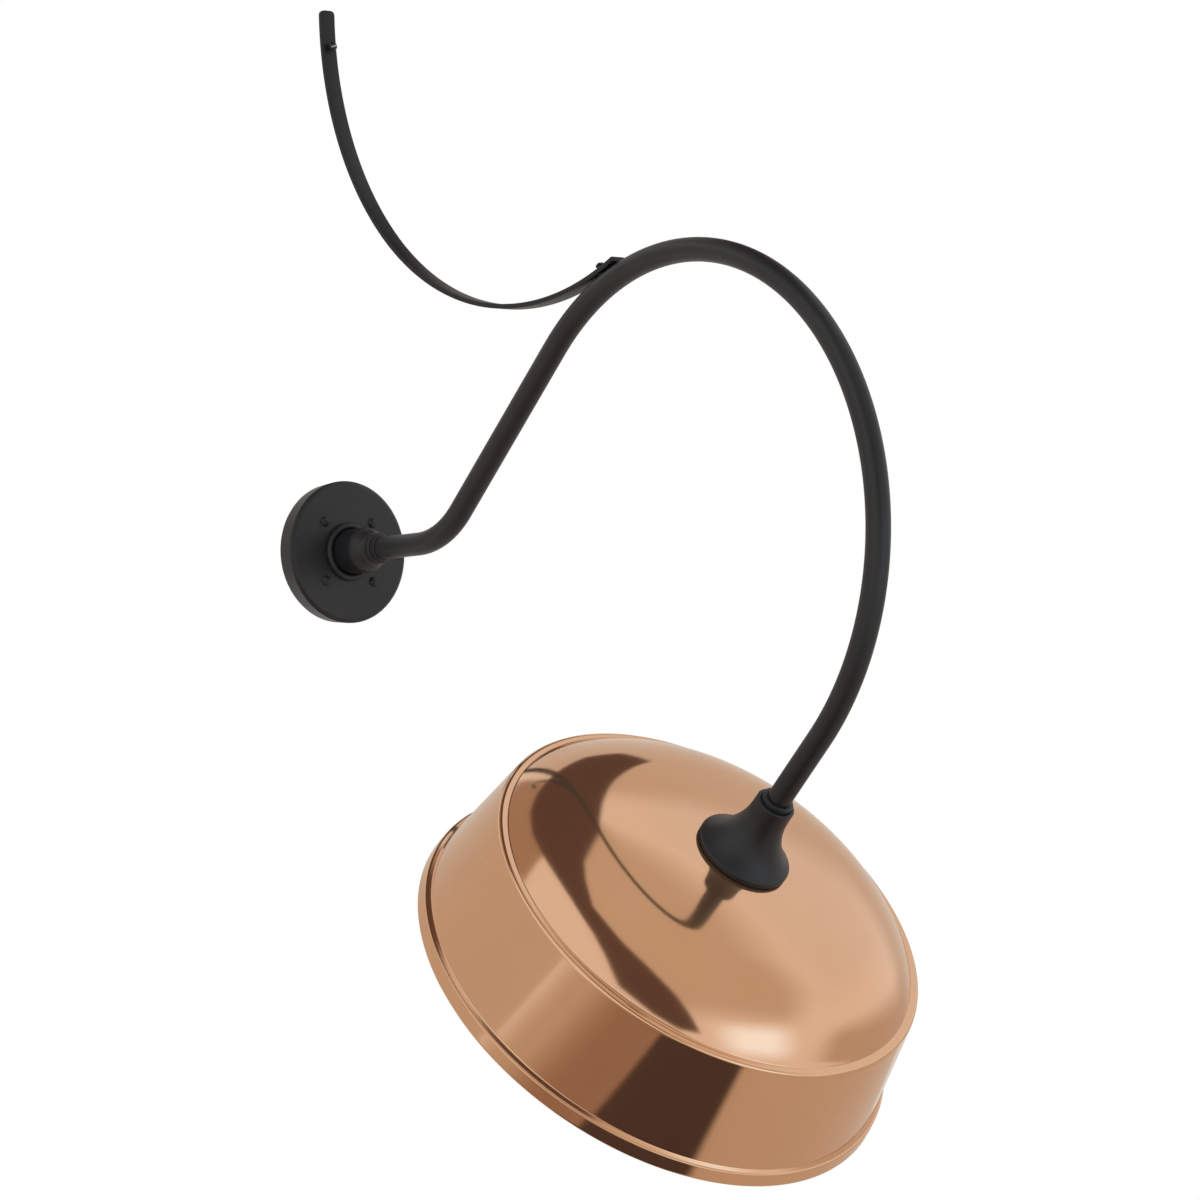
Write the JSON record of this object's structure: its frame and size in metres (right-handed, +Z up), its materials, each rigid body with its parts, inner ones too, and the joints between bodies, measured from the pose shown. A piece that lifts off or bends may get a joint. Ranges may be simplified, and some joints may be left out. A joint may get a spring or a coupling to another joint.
{
  "type": "gooseneck wall sconce",
  "caption": "Outdoor wall light: a polished copper dome shade on a bent black tube arm, with a round wall canopy and a curved flat brace bar.",
  "frame": {"origin": "middle of the wall box screw pattern, on the wall plane", "axes": "+Z up, +Y into the wall, the light stands out towards -Y, X = 0 is the plane of the tube and the brace"},
  "size_m": [0.4262, 0.7288, 1.0321],
  "materials": {
    "black_paint": "satin powder coat",
    "copper": "polished copper, lacquered",
    "zinc_steel": "zinc plated",
    "green_steel": "green plated",
    "foam_rubber": "closed-cell foam",
    "porcelain": "glazed",
    "brass": "bright",
    "black_insulation": "matte",
    "white_insulation": "matte",
    "bare_copper": "bare"
  },
  "bodies": {
    "wall_part": {"wall_canopy": "black_paint", "canopy_screws": "black_paint", "hub": "black_paint", "hub_set_screw": "black_paint", "arm_collar": "black_paint", "gooseneck_arm": "black_paint", "brace_strap": "black_paint", "brace_wall_screw": "black_paint", "brace_arm_screw": "black_paint", "arm_rivet_nut": "black_paint", "neck_collar": "black_paint", "mounting_plate": "zinc_steel", "canopy_spacers": "zinc_steel", "hub_lockwasher": "zinc_steel", "hub_locknut": "zinc_steel", "arm_nipple": "zinc_steel", "neck_washer": "zinc_steel", "neck_locknuts": "zinc_steel", "socket_cup": "zinc_steel", "socket_screws": "zinc_steel", "ground_screw": "green_steel", "canopy_gasket": "foam_rubber", "socket_body": "porcelain", "socket_shell": "brass", "socket_contact": "brass", "live_lead": "black_insulation", "neutral_lead": "white_insulation", "ground_lead": "bare_copper"},
    "shade_head": {"neck_cap": "black_paint", "neck_gasket": "foam_rubber", "neck_set_screw": "black_paint", "shade": "copper"}
  },
  "joints": [
    {"name": "shade_turn", "type": "hinge", "parent": "wall_part", "child": "shade_head", "pos_m": [0, -0.57101, -0.25123], "axis": [0, -0.7337, 0.6794], "range_deg": [-180, 180]}
  ]
}
